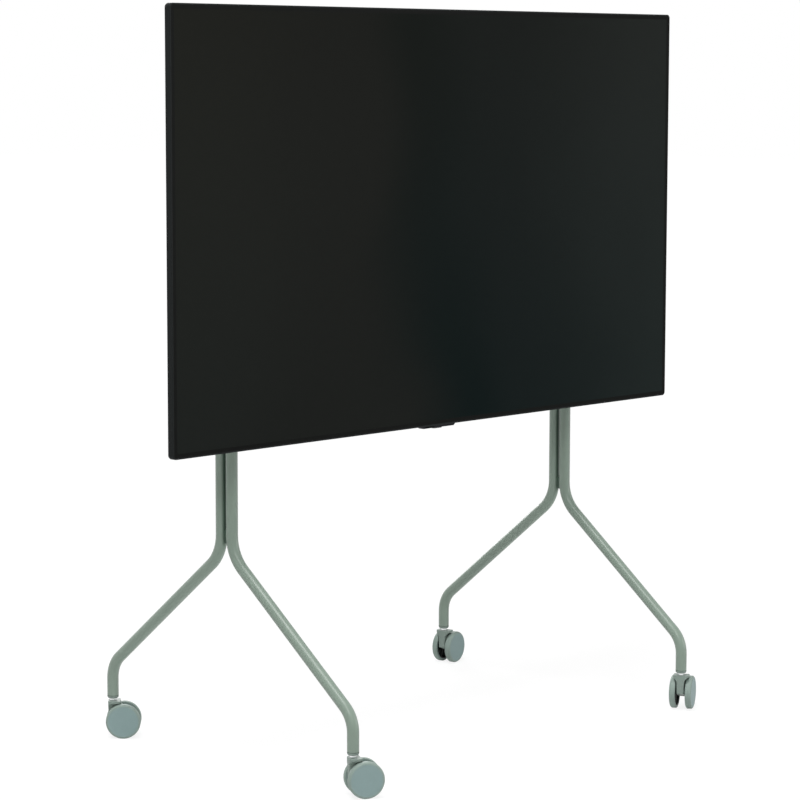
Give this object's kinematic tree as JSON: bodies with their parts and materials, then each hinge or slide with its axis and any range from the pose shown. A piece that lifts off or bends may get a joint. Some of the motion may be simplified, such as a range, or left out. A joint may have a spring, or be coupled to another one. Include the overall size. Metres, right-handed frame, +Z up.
{
  "type": "mobile display stand",
  "caption": "Large flat display on a wheeled stand: paired bent-tube legs, cross rails, hooked mounting arms and swivelling twin-wheel castors.",
  "frame": {"origin": "on the floor, midway between the legs and midway between the front and rear castor stems, within a few millimetres of the middle of the outline", "axes": "+X to the right of someone facing the display, +Y behind the display, +Z up"},
  "size_m": [1.447, 0.7609, 1.46],
  "materials": {
    "sage_paint": "fine semi-gloss powder coat",
    "sage_plastic": "fine moulded grain",
    "wheel_plastic": "smooth moulded nylon",
    "bright_steel": "bright zinc plate",
    "black_frame": "satin black",
    "screen_glass": "anti-glare, dark when off",
    "panel_grey": "polarising film",
    "chassis_steel": "zinc-coated sheet",
    "black_plastic": "fine moulded texture",
    "button_black": "smooth moulded",
    "black_screw": "black oxide",
    "circuit_green": "solder mask",
    "port_metal": "nickel plate",
    "pin_brass": "bright"
  },
  "bodies": {
    "stand": {"arm_lock_screws": "bright_steel", "backlight_chassis": "chassis_steel", "bezel_frame": "black_frame", "board_pillars": "chassis_steel", "castor_stem_front_left": "bright_steel", "castor_stem_front_right": "bright_steel", "castor_stem_rear_left": "bright_steel", "castor_stem_rear_right": "bright_steel", "cover_glass": "screen_glass", "cover_screws": "black_screw", "foot_socket_front_left": "sage_plastic", "foot_socket_front_right": "sage_plastic", "foot_socket_rear_left": "sage_plastic", "foot_socket_rear_right": "sage_plastic", "inlet_pins": "pin_brass", "inlet_recess": "black_plastic", "lcd_panel": "panel_grey", "leg_tube_left_front": "sage_paint", "leg_tube_left_rear": "sage_paint", "leg_tube_right_front": "sage_paint", "leg_tube_right_rear": "sage_paint", "lower_rail": "sage_paint", "main_board": "circuit_green", "mounting_arm_left": "sage_paint", "mounting_arm_right": "sage_paint", "mounting_bosses": "chassis_steel", "mounting_screws": "bright_steel", "port_recess": "black_plastic", "ports": "port_metal", "post_cap_left": "sage_plastic", "post_cap_right": "sage_plastic", "post_spacers": "sage_paint", "power_board": "circuit_green", "power_inlet": "black_plastic", "rail_screws": "bright_steel", "rear_cover": "black_plastic", "saddle_plates": "sage_paint", "sensor_board": "circuit_green", "sensor_housing": "black_plastic", "speakers": "black_plastic", "upper_rail": "sage_paint"},
    "castor_front_left": {"castor_body_front_left": "sage_plastic", "castor_axle_front_left": "bright_steel"},
    "wheel_front_left_1": {"wheel_front_left_1": "wheel_plastic"},
    "wheel_front_left_2": {"wheel_front_left_2": "wheel_plastic"},
    "castor_rear_left": {"castor_body_rear_left": "sage_plastic", "castor_axle_rear_left": "bright_steel"},
    "wheel_rear_left_1": {"wheel_rear_left_1": "wheel_plastic"},
    "wheel_rear_left_2": {"wheel_rear_left_2": "wheel_plastic"},
    "castor_front_right": {"castor_body_front_right": "sage_plastic", "castor_axle_front_right": "bright_steel"},
    "wheel_front_right_1": {"wheel_front_right_1": "wheel_plastic"},
    "wheel_front_right_2": {"wheel_front_right_2": "wheel_plastic"},
    "castor_rear_right": {"castor_body_rear_right": "sage_plastic", "castor_axle_rear_right": "bright_steel"},
    "wheel_rear_right_1": {"wheel_rear_right_1": "wheel_plastic"},
    "wheel_rear_right_2": {"wheel_rear_right_2": "wheel_plastic"},
    "power_button": {"power_button": "button_black"}
  },
  "joints": [
    {"name": "castor_front_left_swivel", "type": "hinge", "parent": "stand", "child": "castor_front_left", "pos_m": [-0.4925, -0.34, 0.06], "axis": [0, 0, 1], "continuous": true},
    {"name": "wheel_front_left_1_spin", "type": "hinge", "parent": "castor_front_left", "child": "wheel_front_left_1", "pos_m": [-0.47469, -0.35113, 0.035], "axis": [0.5299, 0.848, 0], "continuous": true},
    {"name": "wheel_front_left_2_spin", "type": "hinge", "parent": "castor_front_left", "child": "wheel_front_left_2", "pos_m": [-0.47469, -0.35113, 0.035], "axis": [0.5299, 0.848, 0], "continuous": true},
    {"name": "castor_rear_left_swivel", "type": "hinge", "parent": "stand", "child": "castor_rear_left", "pos_m": [-0.4925, 0.34, 0.06], "axis": [0, 0, 1], "continuous": true},
    {"name": "wheel_rear_left_1_spin", "type": "hinge", "parent": "castor_rear_left", "child": "wheel_rear_left_1", "pos_m": [-0.47739, 0.32541, 0.035], "axis": [0.6947, 0.7193, 0], "continuous": true},
    {"name": "wheel_rear_left_2_spin", "type": "hinge", "parent": "castor_rear_left", "child": "wheel_rear_left_2", "pos_m": [-0.47739, 0.32541, 0.035], "axis": [0.6947, 0.7193, 0], "continuous": true},
    {"name": "castor_front_right_swivel", "type": "hinge", "parent": "stand", "child": "castor_front_right", "pos_m": [0.4925, -0.34, 0.06], "axis": [0, 0, 1], "continuous": true},
    {"name": "wheel_front_right_1_spin", "type": "hinge", "parent": "castor_front_right", "child": "wheel_front_right_1", "pos_m": [0.51113, -0.3303, 0.035], "axis": [-0.4617, 0.887, 0], "continuous": true},
    {"name": "wheel_front_right_2_spin", "type": "hinge", "parent": "castor_front_right", "child": "wheel_front_right_2", "pos_m": [0.51113, -0.3303, 0.035], "axis": [-0.4617, 0.887, 0], "continuous": true},
    {"name": "castor_rear_right_swivel", "type": "hinge", "parent": "stand", "child": "castor_rear_right", "pos_m": [0.4925, 0.34, 0.06], "axis": [0, 0, 1], "continuous": true},
    {"name": "wheel_rear_right_1_spin", "type": "hinge", "parent": "castor_rear_right", "child": "wheel_rear_right_1", "pos_m": [0.51311, 0.34401, 0.035], "axis": [-0.1908, 0.9816, 0], "continuous": true},
    {"name": "wheel_rear_right_2_spin", "type": "hinge", "parent": "castor_rear_right", "child": "wheel_rear_right_2", "pos_m": [0.51311, 0.34401, 0.035], "axis": [-0.1908, 0.9816, 0], "continuous": true},
    {"name": "power_button_press", "type": "slide", "parent": "stand", "child": "power_button", "axis": [0, 0, 1], "range_m": [0, 0.0007], "stiffness_N_per_m": 400}
  ]
}
